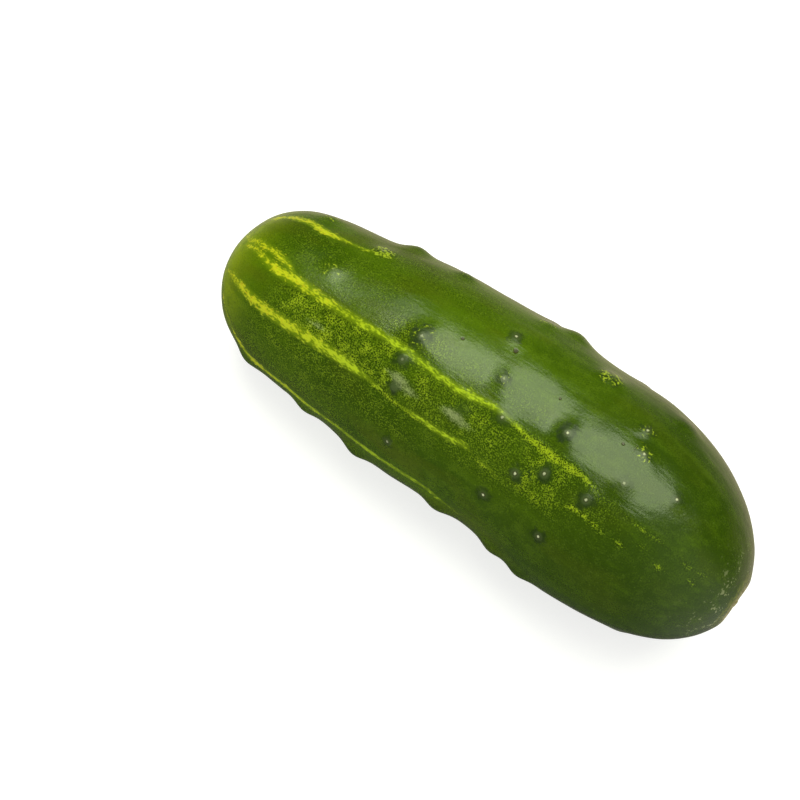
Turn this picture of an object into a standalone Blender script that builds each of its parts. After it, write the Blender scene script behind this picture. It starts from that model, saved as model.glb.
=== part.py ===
"""A pickling cucumber as picked: one grown piece, lying on the warts of its underside.

+X runs from the blossom end to the stem end, +Z is up, and the fruit rests at z = 0.
Run it with: blender --background --python part.py
"""

import math

import bmesh
import bpy
import numpy as np

MM = 0.001

# The body, along its length from the blossom end (0) to the stem end (1).
LENGTH = 125 * MM
# Radius that the body would have with its round ends drawn out straight: (share of length, radius).
FULLNESS = (
    (0.00, 35.0 * MM),
    (0.05, 30.9 * MM),
    (0.12, 26.5 * MM),
    (0.20, 23.4 * MM),
    (0.35, 22.2 * MM),
    (0.50, 21.8 * MM),
    (0.62, 22.5 * MM),
    (0.75, 25.8 * MM),
    (0.88, 28.6 * MM),
    (1.00, 31.4 * MM),
)
# The fruit bows sideways a little: (share of length, sideways place of its middle).
BOW = (
    (0.00, -1.2 * MM),
    (0.18, -1.4 * MM),
    (0.30, -0.4 * MM),
    (0.42, -0.1 * MM),
    (0.53, 0.8 * MM),
    (0.65, 0.1 * MM),
    (0.80, -0.7 * MM),
    (1.00, -3.2 * MM),
)
# The fatter stem end holds the middle line higher than the blossom end does.
PITCH = 4.2 * MM
# The stretch of the middle line that the skin stands off from. Past it the ends are domed.
CORE = (0.18, 0.82)

# The section is a circle with three soft lobes, one of them up. Angles run from +Y through +Z.
LOBE = 0.022
LOBE_AT = 108
LOBES = 3

# Warts: (share of length, degrees around, height, radius), on the side that lies uppermost.
WARTS = (
    (0.113, 39, 0.5, 2.4),
    (0.124, 195, 0.9, 3.0),
    (0.191, 85, 0.3, 2.2),
    (0.227, 53, 0.6, 2.6),
    (0.249, 196, 0.9, 2.8),
    (0.255, 25, 1.2, 3.0),
    (0.352, 33, 0.7, 2.4),
    (0.361, 193, 1.1, 3.0),
    (0.375, 109, 0.5, 2.2),
    (0.378, 94, 0.9, 3.0),
    (0.388, 123, 0.4, 1.8),
    (0.418, 154, 0.4, 2.0),
    (0.491, 65, 0.4, 2.2),
    (0.495, 118, 0.3, 2.6),
    (0.511, 36, 0.5, 2.4),
    (0.521, 91, 0.5, 2.0),
    (0.523, 190, 1.2, 3.2),
    (0.554, 24, 1.1, 3.2),
    (0.555, 107, 0.4, 2.2),
    (0.593, 147, 0.3, 2.0),
    (0.620, 125, 0.3, 2.0),
    (0.634, 190, 1.1, 3.0),
    (0.643, 47, 0.9, 2.8),
    (0.651, 94, 0.8, 2.5),
    (0.658, 116, 0.3, 2.0),
    (0.690, 192, 1.0, 3.0),
    (0.701, 145, 0.3, 2.1),
    (0.733, 114, 0.3, 2.2),
    (0.743, 66, 0.4, 2.2),
    (0.762, 79, 0.5, 2.4),
    (0.765, 97, 0.4, 2.3),
    (0.782, 37, 0.6, 2.6),
    (0.841, 85, 0.3, 1.9),
)
# The side that lies under has more of them, in rows.
UNDER_ROWS = (212, 226, 240, 298, 312, 328, 344, 0)
UNDER_PER_ROW = 5
UNDER_SPAN = (0.1, 0.9)
UNDER_STRAY = 5
UNDER_HEIGHT = (0.4, 0.9)
UNDER_RADIUS = (2.2, 3.0)
SEED = 7

# Four warts underneath carry the fruit: (share of length, degrees around). Its weight presses
# each one level where it touches.
FEET = ((0.30, 251), (0.31, 285), (0.73, 250), (0.72, 284))
FOOT_RADIUS = 4.0 * MM
CLEARANCE = 0.2 * MM
PRESSED = 0.2 * MM

# Scars at the two ends, as (radius, depth): a pit where the stem came off, a dimple where the
# flower fell.
STEM_SCAR = (3.4 * MM, 1.0 * MM)
BLOSSOM_SCAR = (2.2 * MM, 0.6 * MM)

# The mesh is a sphere's, with its rings spread evenly along the body.
SEGMENTS = 72
RINGS = 58
RING_SPREAD = 0.1

SKIN_GREEN = (0.065, 0.125, 0.006, 1.0)
SKIN_ROUGHNESS = 0.35


def smooth_through(stations, at):
    """The height at each place of a smooth curve through the stations."""
    x, y = np.array(stations).T
    slope = np.gradient(y, x)
    low = np.clip(np.searchsorted(x, at) - 1, 0, len(x) - 2)
    gap = x[low + 1] - x[low]
    u = (at - x[low]) / gap
    return (
        y[low] * (1 + 2 * u) * (1 - u) ** 2
        + y[low + 1] * u**2 * (3 - 2 * u)
        + gap * u * (1 - u) * (slope[low] * (1 - u) - slope[low + 1] * u)
    )


def middle(along):
    """Points on the body's middle line."""
    return np.stack(
        [(along - 0.5) * LENGTH, smooth_through(BOW, along), (along - 0.5) * PITCH], axis=-1
    )


def body(along, around):
    """Points on the smooth body, without warts or scars. around is in degrees."""
    angle = np.radians(around)
    lobes = 1 + LOBE * np.cos(LOBES * (angle - math.radians(LOBE_AT)))
    round_end = 2 * np.sqrt(np.clip(along * (1 - along), 0, None))
    radius = smooth_through(FULLNESS, along) * round_end * lobes
    across = np.stack([np.zeros_like(angle), np.cos(angle), np.sin(angle)], axis=-1)
    return middle(along) + radius[..., None] * across


def outward(along, points):
    """Unit directions away from the core of the body, which stops a radius short of each end."""
    core = middle(np.clip(along, *CORE))
    away = points - core
    return away / np.linalg.norm(away, axis=-1, keepdims=True)


def under_warts():
    """Warts in rows on the side that lies under, each a little off its place."""
    chance = np.random.default_rng(SEED)
    for row in UNDER_ROWS:
        for step in range(UNDER_PER_ROW):
            along = np.interp(step + chance.uniform(0.2, 0.8), (0, UNDER_PER_ROW), UNDER_SPAN)
            around = row + chance.uniform(-UNDER_STRAY, UNDER_STRAY)
            yield along, around, chance.uniform(*UNDER_HEIGHT), chance.uniform(*UNDER_RADIUS)


def all_warts(floor):
    """Every wart as (centre, height, radius). A foot is as high as it takes to reach the floor."""
    found = []
    for along, around, height, radius in (*WARTS, *under_warts()):
        found.append((body(np.array(along), np.array(around)), height * MM, radius * MM))
    for along, around in FEET:
        centre = body(np.array(along), np.array(around))
        down = -outward(np.array(along), centre)[2]
        found.append((centre, (centre[2] - floor + PRESSED) / down, FOOT_RADIUS))
    return found


def scar_depth(points, along, end, scar):
    """How far each point is pressed in by the round scar at one end: 0 blossom, 1 stem."""
    radius, depth = scar
    off_axis = np.linalg.norm((points - middle(np.array(end)))[:, 1:], axis=-1)
    return depth * np.exp(-((off_axis / radius) ** 4)) * (np.abs(along - end) < 0.5)


def skin(along, around):
    """Points on the finished skin, resting at z = 0."""
    points = body(along, around)
    out = outward(along, points)
    floor = points[:, 2].min() - CLEARANCE
    lift = np.zeros(len(points))
    for centre, height, radius in all_warts(floor):
        distance = np.linalg.norm(points - centre, axis=-1)
        lift += height * np.exp(-((distance / radius) ** 2))
    lift -= scar_depth(points, along, 0.0, BLOSSOM_SCAR)
    lift -= scar_depth(points, along, 1.0, STEM_SCAR)
    points = points + out * lift[:, None]
    points[:, 2] = np.maximum(points[:, 2], floor) - floor
    return points


def place_on_sphere(verts):
    """Where each vertex of the unit sphere lies on the fruit: (share of length, degrees around)."""
    places = np.array([v.co for v in verts])
    polar = np.arccos(np.clip(-places[:, 2], -1, 1))
    polar += RING_SPREAD * np.sin(2 * polar)
    along = (1 - np.cos(polar)) / 2
    around = np.degrees(np.arctan2(places[:, 1], places[:, 0]))
    return along, around


def middle_of_box(points):
    """The centre of the points' footprint on the floor."""
    centre = (points.min(axis=0) + points.max(axis=0)) / 2
    centre[2] = 0
    return centre


def make_cucumber(collection):
    """The fruit, as one closed mesh shaped from a sphere whose poles become its two ends."""
    form = bmesh.new()
    bmesh.ops.create_uvsphere(form, u_segments=SEGMENTS, v_segments=RINGS, radius=1)
    points = skin(*place_on_sphere(form.verts))
    points -= middle_of_box(points)
    for vert, point in zip(form.verts, points):
        vert.co = point
    bmesh.ops.recalc_face_normals(form, faces=form.faces)
    mesh = bpy.data.meshes.new("cucumber")
    form.to_mesh(mesh)
    form.free()
    mesh.shade_smooth()
    mesh.materials.append(skin_material())
    fruit = bpy.data.objects.new("cucumber", mesh)
    collection.objects.link(fruit)
    return fruit


def skin_material():
    """Dark green waxy skin."""
    material = bpy.data.materials.new("cucumber_skin")
    material.use_nodes = True
    shader = material.node_tree.nodes["Principled BSDF"]
    shader.inputs["Base Color"].default_value = SKIN_GREEN
    shader.inputs["Roughness"].default_value = SKIN_ROUGHNESS
    shader.inputs["Metallic"].default_value = 0.0
    material.diffuse_color = SKIN_GREEN
    return material


def main():
    for old in list(bpy.data.objects):
        bpy.data.objects.remove(old)
    collection = bpy.data.collections.new("cucumber")
    bpy.context.scene.collection.children.link(collection)
    fruit = make_cucumber(collection)
    size = [round(1000 * side, 1) for side in fruit.dimensions]
    print("cucumber, mm:", size)


main()
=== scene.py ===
# %% [markdown]
# # A pickling cucumber, skin and all
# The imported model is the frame: one solid fruit, 124 mm long, lying on four of its own warts. What is
# left to make is what the eye meets: a waxy skin with warts, thin yellow stripes, thousands of pale
# specks, and the two scars at its ends. Everything is in metres, in the frame's own axes: +X runs
# from the blossom end to the stem end, +Z is up, and the fruit rests at z = 0.

# %% Open the frame
import math

import bpy
import numpy as np
from mathutils import Matrix, Vector


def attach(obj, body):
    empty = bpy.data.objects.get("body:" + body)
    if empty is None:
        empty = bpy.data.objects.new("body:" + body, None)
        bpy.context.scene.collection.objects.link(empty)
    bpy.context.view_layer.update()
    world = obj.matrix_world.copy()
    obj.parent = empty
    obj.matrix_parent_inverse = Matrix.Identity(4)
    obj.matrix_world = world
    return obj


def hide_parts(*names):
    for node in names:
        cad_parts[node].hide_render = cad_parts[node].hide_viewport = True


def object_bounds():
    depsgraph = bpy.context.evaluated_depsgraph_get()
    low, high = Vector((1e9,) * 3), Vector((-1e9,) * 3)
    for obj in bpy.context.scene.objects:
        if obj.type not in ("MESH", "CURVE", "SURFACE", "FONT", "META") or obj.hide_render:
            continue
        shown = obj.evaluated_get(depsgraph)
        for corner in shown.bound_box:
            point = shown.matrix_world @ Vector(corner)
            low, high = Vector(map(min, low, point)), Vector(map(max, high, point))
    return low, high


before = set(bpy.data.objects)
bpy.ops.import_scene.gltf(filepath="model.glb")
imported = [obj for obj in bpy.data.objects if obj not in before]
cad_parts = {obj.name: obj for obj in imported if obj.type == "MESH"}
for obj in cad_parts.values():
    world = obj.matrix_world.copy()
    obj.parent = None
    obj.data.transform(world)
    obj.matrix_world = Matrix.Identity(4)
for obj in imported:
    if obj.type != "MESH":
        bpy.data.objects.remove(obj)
cad_low, cad_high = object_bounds()
MM = 0.001
print("frame box, mm:", [round(side / MM, 1) for side in cad_high - cad_low])

# %% [markdown]
# ## The body's driving sizes
# A cucumber is nearly a tube with domed ends, but not quite: this one is a little waisted, fattest
# at 70 % of its length, bows sideways by a millimetre, and has a softly three-sided section because
# it grew from three joined seed chambers. The sizes are the solid's own, so that the skin lands on
# it. "along" is the share of length from the blossom end, and "around" is degrees from +Y through +Z.

# %% Sizes of the body
LENGTH = 125 * MM
FULLNESS = (
    (0.00, 35.0 * MM),
    (0.05, 30.9 * MM),
    (0.12, 26.5 * MM),
    (0.20, 23.4 * MM),
    (0.35, 22.2 * MM),
    (0.50, 21.8 * MM),
    (0.62, 22.5 * MM),
    (0.75, 25.8 * MM),
    (0.88, 28.6 * MM),
    (1.00, 31.4 * MM),
)
BOW = (
    (0.00, -1.2 * MM),
    (0.18, -1.4 * MM),
    (0.30, -0.4 * MM),
    (0.42, -0.1 * MM),
    (0.53, 0.8 * MM),
    (0.65, 0.1 * MM),
    (0.80, -0.7 * MM),
    (1.00, -3.2 * MM),
)
PITCH = 4.2 * MM
CORE = (0.18, 0.82)
LOBE = 0.022
LOBE_AT = 108
LOBES = 3


def smooth_through(stations, at):
    """The height at each place of a smooth curve through the stations."""
    x, y = np.array(stations, float).T
    slope = np.gradient(y, x)
    low = np.clip(np.searchsorted(x, at) - 1, 0, len(x) - 2)
    gap = x[low + 1] - x[low]
    u = (at - x[low]) / gap
    return (
        y[low] * (1 + 2 * u) * (1 - u) ** 2
        + y[low + 1] * u**2 * (3 - 2 * u)
        + gap * u * (1 - u) * (slope[low] * (1 - u) - slope[low + 1] * u)
    )


def middle(along):
    """Points on the body's middle line."""
    return np.stack(
        [(along - 0.5) * LENGTH, smooth_through(BOW, along), (along - 0.5) * PITCH], axis=-1
    )


def round_radius(along):
    """The body's mean radius at each place along it."""
    return smooth_through(FULLNESS, along) * 2 * np.sqrt(np.clip(along * (1 - along), 0, None))


def body(along, around):
    """Points on the smooth body."""
    angle = np.radians(around)
    lobes = 1 + LOBE * np.cos(LOBES * (angle - math.radians(LOBE_AT)))
    across = np.stack([np.zeros_like(angle), np.cos(angle), np.sin(angle)], axis=-1)
    return middle(along) + (round_radius(along) * lobes)[..., None] * across


def outward(along, points):
    """Unit directions away from the core of the body."""
    away = points - middle(np.clip(along, *CORE))
    return away / np.linalg.norm(away, axis=-1, keepdims=True)


print("thickest, mm:", round(2 * round_radius(np.linspace(0, 1, 101)).max() / MM, 1))

# %% [markdown]
# ## Warts
# Every wart is the foot of a spine that dried and fell off. What is left on each differs: some keep
# a pale dot where the spine stood ("dot"), some are dark smooth knobs ("knob"), some gather yellow
# specks ("speck"). So each wart is a row: along, around, height in mm, radius in mm and these three
# strengths from 0 to 1. The side that lies uppermost is given wart by wart. The side that
# lies under follows a seeded rule, in rows, and four of its warts carry the fruit. Pits, nicks and
# the pale patches of painted sheen have no height, but they are places on the skin too, so they
# are listed here as well.

# %% Wart table
WARTS = (
    # along, around, height, radius, dot, knob, speck
    (0.113, 39, 0.5, 2.4, 0.1, 0.4, 0.8),
    (0.124, 195, 0.9, 3.0, 0.3, 0.3, 0.3),
    (0.191, 85, 0.3, 2.2, 0.1, 0.1, 0.7),
    (0.227, 53, 0.6, 2.6, 0.2, 0.4, 1.0),
    (0.249, 196, 0.9, 2.8, 0.3, 0.3, 0.3),
    (0.255, 25, 1.2, 3.0, 0.0, 0.1, 0.2),
    (0.352, 33, 0.7, 2.4, 0.2, 0.6, 0.6),
    (0.361, 193, 1.1, 3.0, 0.3, 0.3, 0.3),
    (0.375, 109, 0.5, 2.2, 0.2, 0.9, 0.2),
    (0.378, 94, 0.9, 3.0, 0.4, 1.0, 0.6),
    (0.388, 123, 0.4, 1.8, 0.0, 1.0, 0.0),
    (0.418, 154, 0.4, 2.0, 0.6, 0.7, 0.0),
    (0.491, 65, 0.4, 2.2, 0.8, 0.7, 0.0),
    (0.495, 118, 0.3, 2.6, 0.1, 0.3, 0.0),
    (0.511, 36, 0.5, 2.4, 0.0, 0.1, 0.7),
    (0.521, 91, 0.5, 2.0, 0.3, 0.9, 0.6),
    (0.523, 190, 1.2, 3.2, 0.3, 0.3, 0.3),
    (0.554, 24, 1.1, 3.2, 0.1, 0.2, 0.3),
    (0.555, 107, 0.4, 2.2, 0.5, 0.6, 0.0),
    (0.593, 147, 0.3, 2.0, 1.0, 0.7, 0.0),
    (0.620, 125, 0.3, 2.0, 1.0, 0.9, 0.0),
    (0.634, 190, 1.1, 3.0, 0.3, 0.3, 0.3),
    (0.643, 47, 0.9, 2.8, 0.0, 0.8, 0.9),
    (0.651, 94, 0.8, 2.5, 0.9, 1.0, 0.3),
    (0.658, 116, 0.3, 2.0, 0.7, 0.9, 0.0),
    (0.690, 192, 1.0, 3.0, 0.3, 0.3, 0.3),
    (0.701, 145, 0.3, 2.1, 1.0, 0.8, 0.1),
    (0.733, 114, 0.3, 2.2, 0.7, 0.9, 0.0),
    (0.743, 66, 0.4, 2.2, 0.7, 0.6, 0.7),
    (0.762, 79, 0.5, 2.4, 0.8, 0.5, 0.7),
    (0.765, 97, 0.4, 2.3, 0.5, 0.5, 0.0),
    (0.782, 37, 0.6, 2.6, 0.1, 0.4, 0.1),
    (0.841, 85, 0.3, 1.9, 0.9, 0.6, 0.3),
)
UNDER_ROWS = (212, 226, 240, 298, 312, 328, 344, 0)
UNDER_PER_ROW = 5
UNDER_SPAN = (0.1, 0.9)
UNDER_STRAY = 5
UNDER_HEIGHT = (0.4, 0.9)
UNDER_RADIUS = (2.2, 3.0)
UNDER_LOOKS = (0.1, 1.0)
SEED = 7
# Pale patches of painted sheen, a painted highlight for the grey glints of the wax along the ridge
# between the top stripes: along, around, strength. Sizes are in mm.
SHEEN_SPOTS = ((0.225, 119, 0.5), (0.385, 118, 0.8), (0.41, 121, 0.6), (0.485, 119, 0.8), (0.51, 121, 0.5))
SHEEN_SPOT_LENGTH = 2.6
SHEEN_SPOT_WIDTH = 0.9
# Pits and nicks that don't stand out: along, around, radius in mm.
MARKS = ((0.430, 83, 0.45), (0.506, 73, 0.7), (0.608, 81, 0.3), (0.727, 81, 0.4))
# The warts that carry the fruit: along, around. Their height is what it takes to reach the floor.
FEET = ((0.30, 251), (0.31, 285), (0.73, 250), (0.72, 284))
FOOT_RADIUS = 4.0
MARK_LOOKS = (0.0, 0.3, 0.0)
FOOT_LOOKS = (0.0, 0.4, 0.2)
CLEARANCE = 0.2 * MM
PRESSED = 0.2 * MM


def under_warts():
    """Warts in rows on the side that lies under, each a little off its place."""
    chance = np.random.default_rng(SEED)
    looks = np.random.default_rng(SEED + 1)
    for row in UNDER_ROWS:
        for step in range(UNDER_PER_ROW):
            along = np.interp(step + chance.uniform(0.2, 0.8), (0, UNDER_PER_ROW), UNDER_SPAN)
            around = row + chance.uniform(-UNDER_STRAY, UNDER_STRAY)
            size = chance.uniform(*UNDER_HEIGHT), chance.uniform(*UNDER_RADIUS)
            yield along, around, *size, *looks.uniform(*UNDER_LOOKS, 3)


def all_warts(floor):
    """Every wart's centre, height, radius and three strengths, in arrays."""
    rows = np.array([*WARTS, *under_warts()])
    marks = np.array([(*place, 0, radius, *MARK_LOOKS) for *place, radius in MARKS])
    feet = np.array([(*foot, 0, FOOT_RADIUS, *FOOT_LOOKS) for foot in FEET])
    centres = body(feet[:, 0], feet[:, 1])
    down = -outward(feet[:, 0], centres)[:, 2]
    feet[:, 2] = (centres[:, 2] - floor + PRESSED) / down / MM
    rows = np.concatenate([rows, marks, feet])
    return body(rows[:, 0], rows[:, 1]), rows[:, 2] * MM, rows[:, 3] * MM, rows[:, 4:]


print("warts:", len(WARTS) + UNDER_PER_ROW * len(UNDER_ROWS) + len(FEET))

# %% [markdown]
# ## The skin's mesh
# A round vegetable could be sculpted, or built from a cage with subdivision. A ball with even rings
# is better here: its poles become the two ends, where the real fruit has its scars, and its rings
# and spokes run around and along the fruit, as its stripes do. The ball is added, turned in edit
# mode so that its poles lie along X, and then each vertex is moved to its place on the body.
# The fine mesh has a vertex every 0.4 to 0.6 mm, enough for a 4 mm wart to be round.

# %% Ball with its poles along X
SEGMENTS = 360
RINGS = 256
RING_SPREAD = 0.1

bpy.ops.object.select_all(action="DESELECT")
bpy.ops.mesh.primitive_uv_sphere_add(segments=SEGMENTS, ring_count=RINGS, radius=LENGTH / 2)
skin = bpy.context.object
skin.name = "cucumber_skin"
skin.data.name = "cucumber_skin"
bpy.ops.object.mode_set(mode="EDIT")
bpy.ops.mesh.select_all(action="SELECT")
bpy.ops.transform.rotate(value=math.pi / 2, orient_axis="Y", center_override=(0, 0, 0))
bpy.ops.object.mode_set(mode="OBJECT")
print("ball:", len(skin.data.vertices), "vertices,", len(skin.data.polygons), "faces")


# %% Reading and writing a mesh as arrays
def vertex_places(mesh):
    """The mesh's vertices as an array."""
    places = np.empty(len(mesh.vertices) * 3, np.float32)
    mesh.vertices.foreach_get("co", places)
    return places.reshape(-1, 3).astype(float)


def move_vertices(mesh, places):
    """Put the mesh's vertices at the places."""
    mesh.vertices.foreach_set("co", np.ascontiguousarray(places, np.float32).ravel())
    mesh.update()


def ball_to_fruit(places):
    """Where each vertex of the ball lies on the fruit: along and around."""
    unit = places / np.linalg.norm(places, axis=1, keepdims=True)
    polar = np.arccos(np.clip(-unit[:, 0], -1, 1))
    polar += RING_SPREAD * np.sin(2 * polar)
    around = np.degrees(np.arctan2(unit[:, 2], unit[:, 1])) % 360
    return (1 - np.cos(polar)) / 2, around


along, around = ball_to_fruit(vertex_places(skin.data))
ring_gaps = np.diff(np.unique(along.round(4))) * LENGTH / MM
print("rings, mm apart at the middle:", round(ring_gaps[len(ring_gaps) // 2], 2))

# %% [markdown]
# ## Scars at the ends
# Where the stem came off there is a shallow pit with a corky plug in its middle. Where the flower
# fell there is a small dimple with a button in it. Both are turned shapes, so each is one profile:
# how far the skin is pushed in at each distance from the axis.

# %% Profiles of the scars, in mm: (distance from the axis, depth)
STEM_SCAR = (
    (0.0, 0.35), (0.9, 0.45), (1.5, 0.95), (2.2, 1.1), (3.0, 0.65),
    (4.0, 0.15), (5.2, -0.06), (6.2, -0.04), (7.4, 0.0), (8.8, 0.0),
)
BLOSSOM_SCAR = (
    (0.0, 0.1), (0.6, 0.2), (1.1, 0.6), (1.8, 0.45), (2.6, 0.12), (3.6, 0.0), (4.6, 0.0), (5.6, 0.0),
)


def scar_depth(points, end, profile):
    """How far the scar at one end (0 blossom, 1 stem) pushes each point in."""
    off_axis = np.linalg.norm((points - middle(np.array(float(end))))[:, 1:], axis=1) / MM
    pushed_in = smooth_through(profile, np.minimum(off_axis, profile[-1][0])) * MM
    return pushed_in * (np.abs(along - end) < 0.5)


# %% Body, warts and scars together
points = body(along, around)
out = outward(along, points)
floor_level = points[:, 2].min() - CLEARANCE
wart_centres, wart_heights, wart_radii, wart_looks = all_warts(floor_level)

lift = np.zeros(len(points))
nearest = np.full(len(points), np.inf)
nearest_wart = np.zeros(len(points), int)
for number, (centre, height, radius) in enumerate(zip(wart_centres, wart_heights, wart_radii)):
    distance = np.linalg.norm(points - centre, axis=1)
    lift += height * np.exp(-((distance / radius) ** 2))
    closer = distance < nearest
    nearest[closer] = distance[closer]
    nearest_wart[closer] = number
lift -= scar_depth(points, 0, BLOSSOM_SCAR)
lift -= scar_depth(points, 1, STEM_SCAR)
print("lift, mm: from", round(lift.min() / MM, 2), "to", round(lift.max() / MM, 2))

# %% [markdown]
# ## Lie it down
# The underside is levelled where the four warts touch the surface, as the fruit's weight does, and
# the whole is set over the solid's footprint.

# %% Level the underside
smooth_points = points
points = points + out * lift[:, None]
points[:, 2] = np.maximum(points[:, 2], floor_level) - floor_level
shift = (points.min(axis=0) + points.max(axis=0)) / 2 - np.array((cad_low + cad_high) / 2)
shift[2] = 0
points -= shift
move_vertices(skin.data, points)
print("size, mm:", (points.max(axis=0) - points.min(axis=0)).round(4) / MM)

# %% [markdown]
# ## Uneven growth
# No skin is as even as a formula. A Displace modifier with a cloud texture pushes it in and out by
# a tenth of a millimetre or two, over stretches of about a centimetre: enough to make the edge of a
# reflection wander. A vertex group keeps it off the underside, so the fruit still rests level.

# %% Displace by soft clouds
UNEVEN_SIZE = 11 * MM
UNEVEN_DEPTH = 0.4 * MM
KEEP_LEVEL_BELOW = 4 * MM

upper = skin.vertex_groups.new(name="off_the_floor")
weights = np.clip((points[:, 2] - KEEP_LEVEL_BELOW) / KEEP_LEVEL_BELOW, 0, 1)
for weight in np.unique(weights.round(1)):
    upper.add(np.flatnonzero(weights.round(1) == weight).tolist(), float(weight), "REPLACE")
clouds = bpy.data.textures.new("soft_clouds", "CLOUDS")
clouds.noise_scale = UNEVEN_SIZE
clouds.noise_basis = "IMPROVED_PERLIN"
clouds.noise_depth = 1
bpy.context.view_layer.objects.active = skin
bpy.ops.object.modifier_add(type="DISPLACE")
displace = skin.modifiers[-1]
displace.texture = clouds
displace.strength = UNEVEN_DEPTH
displace.mid_level = 0.5
displace.vertex_group = upper.name
bpy.ops.object.modifier_apply(modifier=displace.name)
bpy.ops.object.shade_smooth()
print("faces with uneven growth:", len(skin.data.polygons))

# %% [markdown]
# ## Facts that the colours follow
# Colour on a cucumber follows how it grew: stripes run from end to end, specks crowd between two of
# them, warts keep a dark ring. A painted picture of it all would go coarse up close. Here the mesh
# carries these facts as attributes, and the material reads them and adds the fine detail itself.


# %% Storing a fact on the skin
def store(name, values):
    """Keep one number or one vector for each vertex."""
    kind, field = ("FLOAT_VECTOR", "vector") if values.ndim == 2 else ("FLOAT", "value")
    attribute = skin.data.attributes.new(name, kind, "POINT")
    attribute.data.foreach_set(field, np.ascontiguousarray(values, np.float32).ravel())


def turn_between(a, b):
    """Degrees from b to a, the short way."""
    return (a - b + 180) % 360 - 180


# %% [markdown]
# ### Stripes
# Each stripe is a short list of stations: along, around and half its width in mm. It narrows to
# nothing or below at its end, where only specks go on. What is stored is how deep inside a stripe
# each vertex lies, in mm, negative outside, so that the material can fray the edge.

# %% Stripe stations
STRIPES = (
    # the double stripe that runs along the top
    (
        (0.00, 82, -0.3), (0.03, 93, 0.2), (0.06, 94, 0.4), (0.09, 95, 0.4), (0.13, 98, 0.4),
        (0.15, 102, 0.1),
    ),
    (
        (0.00, 112, -0.3), (0.05, 100, 0.2), (0.08, 102, 0.4), (0.11, 104, 0.7), (0.16, 103, 0.8),
        (0.22, 104, 0.6), (0.28, 105, 0.5), (0.35, 104, 0.4), (0.44, 106, 0.3), (0.48, 107, 0.5),
        (0.54, 105, 0.3), (0.58, 106, -0.1), (0.64, 107, -0.5), (0.72, 107, -0.9),
    ),
    # its neighbour
    (
        (0.00, 148, -0.3), (0.04, 131, 0.3), (0.07, 130, 0.6), (0.12, 130, 0.8), (0.18, 129, 0.9),
        (0.27, 128, 0.8), (0.32, 128, 0.5), (0.35, 128, 0.0), (0.38, 129, -0.6), (0.41, 130, -0.3),
        (0.44, 130, 0.0), (0.50, 131, 0.2), (0.53, 130, 0.1), (0.55, 131, -0.6), (0.58, 132, -0.2),
        (0.61, 133, -0.7), (0.66, 133, -1.0),
    ),
    # low on the near side
    (
        (0.00, 150, -0.3), (0.05, 160, 0.1), (0.09, 174, 0.4), (0.13, 181, 0.7), (0.20, 181, 0.7),
        (0.26, 182, 0.6), (0.32, 177, 0.4), (0.42, 175, 0.4), (0.50, 175, 0.2), (0.54, 178, -0.2),
        (0.60, 179, -0.9),
    ),
    # high on the far side
    (
        (0.00, 30, -0.3), (0.03, 58, 0.3), (0.06, 57, 0.6), (0.10, 57, 0.8), (0.14, 60, 0.7),
        (0.17, 59, 0.2), (0.21, 58, -0.1), (0.26, 56, -0.9),
    ),
    # the far side and the side that lies under
    ((0.00, 352, -0.3), (0.08, 362, 0.4), (0.20, 368, 0.3), (0.32, 366, -0.2), (0.50, 366, -0.9)),
    ((0.00, 222, -0.3), (0.08, 214, 0.5), (0.20, 216, 0.6), (0.40, 218, 0.2), (0.60, 218, -0.8)),
    ((0.00, 258, -0.3), (0.08, 256, 0.5), (0.25, 254, 0.5), (0.38, 252, 0.0), (0.55, 252, -0.9)),
    ((0.00, 286, -0.3), (0.08, 290, 0.4), (0.30, 292, 0.5), (0.50, 291, 0.0), (0.66, 291, -0.9)),
    ((0.00, 320, -0.3), (0.08, 328, 0.5), (0.22, 330, 0.4), (0.34, 331, -0.3), (0.50, 331, -0.9)),
)
# Past its end a stripe goes on as a loose band of specks, and then as a few clumps.
SPECK_BANDS = (
    (
        (0.55, 106, 0.5), (0.60, 107, 0.8), (0.66, 107, 1.1), (0.70, 106, 0.9), (0.74, 108, 0.2),
        (0.77, 110, -0.3),
    ),
    ((0.77, 110, -0.3), (0.80, 109, 0.0), (0.83, 109, 0.2), (0.86, 108, 0.1), (0.88, 108, -0.5)),
    (
        (0.54, 133, 0.1), (0.58, 133, 0.4), (0.62, 134, 0.1), (0.67, 130, 0.2), (0.70, 125, 0.5),
        (0.72, 121, 0.7),
    ),
    (
        (0.72, 121, 0.7), (0.75, 121, 0.5), (0.78, 122, 0.2), (0.79, 122, -0.6), (0.81, 122, 0.6),
        (0.825, 122, -0.4),
    ),
    ((0.83, 116, -0.5), (0.84, 116, 0.2), (0.85, 116, -0.5)),
    ((0.865, 120, -0.5), (0.876, 120, 0.4), (0.89, 119, -0.5)),
    ((0.90, 110, -0.3), (0.91, 109, 0.4), (0.92, 108, -0.3)),
    ((0.925, 108, -0.4), (0.935, 107, 0.2), (0.945, 106, -0.4)),
    ((0.92, 116, -0.3), (0.93, 116, 0.4), (0.94, 116, -0.3)),
    ((0.17, 60, 0.1), (0.22, 56, 0.4), (0.27, 52, 0.2), (0.30, 50, -0.4)),
    ((0.31, 129, -0.3), (0.35, 129, 0.5), (0.40, 130, 0.6), (0.45, 131, 0.5), (0.50, 132, 0.0)),
)
BAND_EDGE = 1.7
OUTSIDE = -3.0


def inside_stripe(stations):
    """How far inside the stripe each vertex lies, in mm."""
    at, turn, half = np.array(stations, float).T
    centre = smooth_through(np.stack([at, turn], 1), np.clip(along, at[0], at[-1]))
    width = smooth_through(np.stack([at, half], 1), np.clip(along, at[0], at[-1]))
    off = np.abs(np.radians(turn_between(around, centre))) * round_radius(along) / MM
    past = (np.maximum(along - at[-1], 0) + np.maximum(at[0] - along, 0)) * LENGTH / MM
    return np.maximum(width - off - past, OUTSIDE)


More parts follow.
